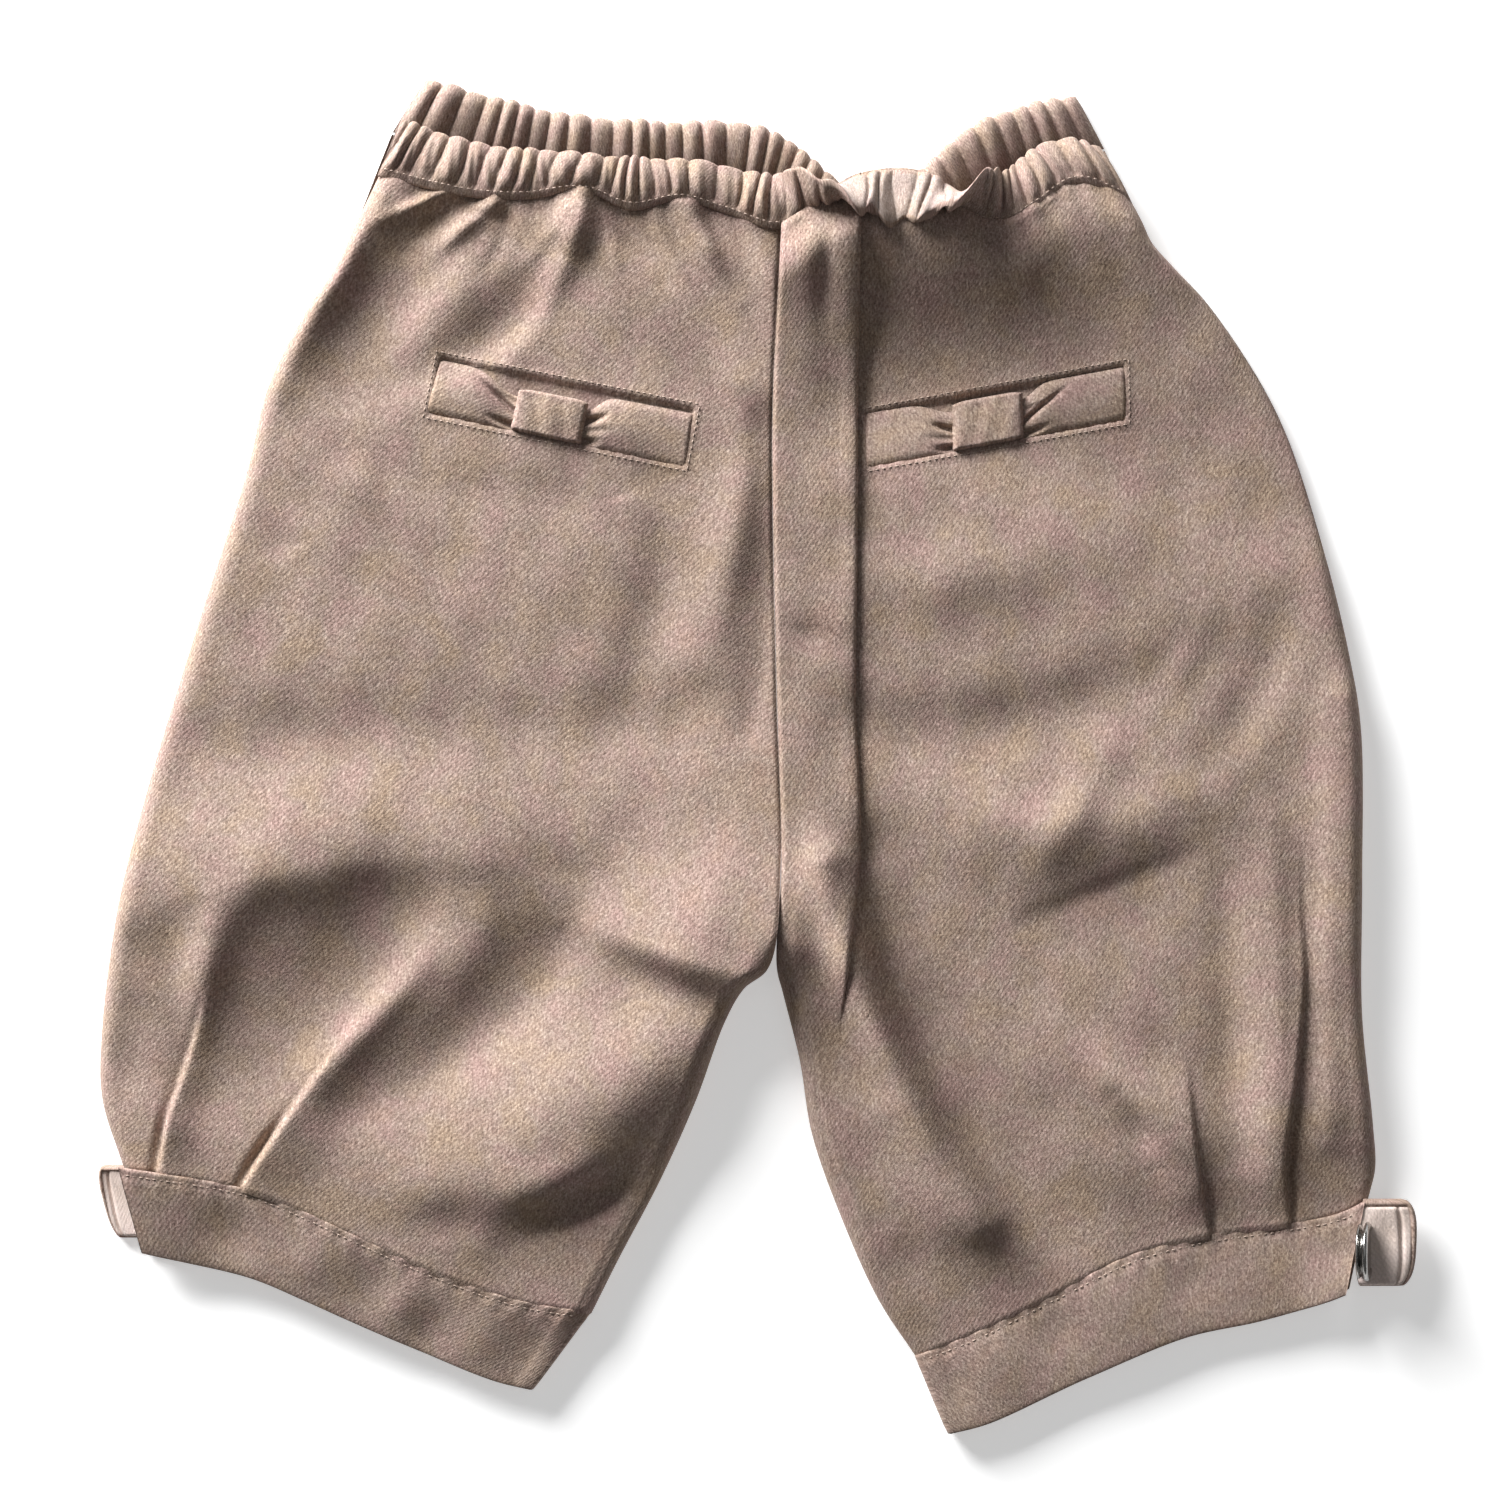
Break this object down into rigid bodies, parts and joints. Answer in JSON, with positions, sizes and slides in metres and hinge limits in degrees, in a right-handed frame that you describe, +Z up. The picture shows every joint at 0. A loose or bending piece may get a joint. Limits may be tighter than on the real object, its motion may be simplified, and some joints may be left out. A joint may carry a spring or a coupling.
{
  "type": "baby trousers",
  "caption": "Baby knickerbocker trousers of napped twill with an elastic waist, bow welt pockets on the seat, pleated legs and cuffs with tabs, laid flat.",
  "frame": {"origin": "middle of the bottom of the part's box, on the surface that the trousers lie on", "axes": "+X to the right with the waist uppermost and the seat side up, +Y from the cuffs towards the waist, +Z up from the surface"},
  "size_m": [0.3176, 0.3264, 0.0215],
  "materials": {
    "cloth": "napped twill, matt with a soft sheen",
    "facing": "plain pale facing",
    "metal": "polished"
  },
  "bodies": {
    "root": {"back_left": "cloth", "back_right": "cloth", "front_left": "cloth", "front_right": "cloth", "waistband_back": "cloth", "waistband_front": "cloth", "cuff_left": "cloth", "cuff_right": "cloth", "pocket_welt_left": "cloth", "pocket_loop_left": "cloth", "pocket_welt_right": "cloth", "pocket_loop_right": "cloth", "cuff_tab_left": "cloth", "tab_facing_left": "facing", "cuff_tab_right": "cloth", "tab_facing_right": "facing", "press_button": "metal"}
  },
  "joints": []
}
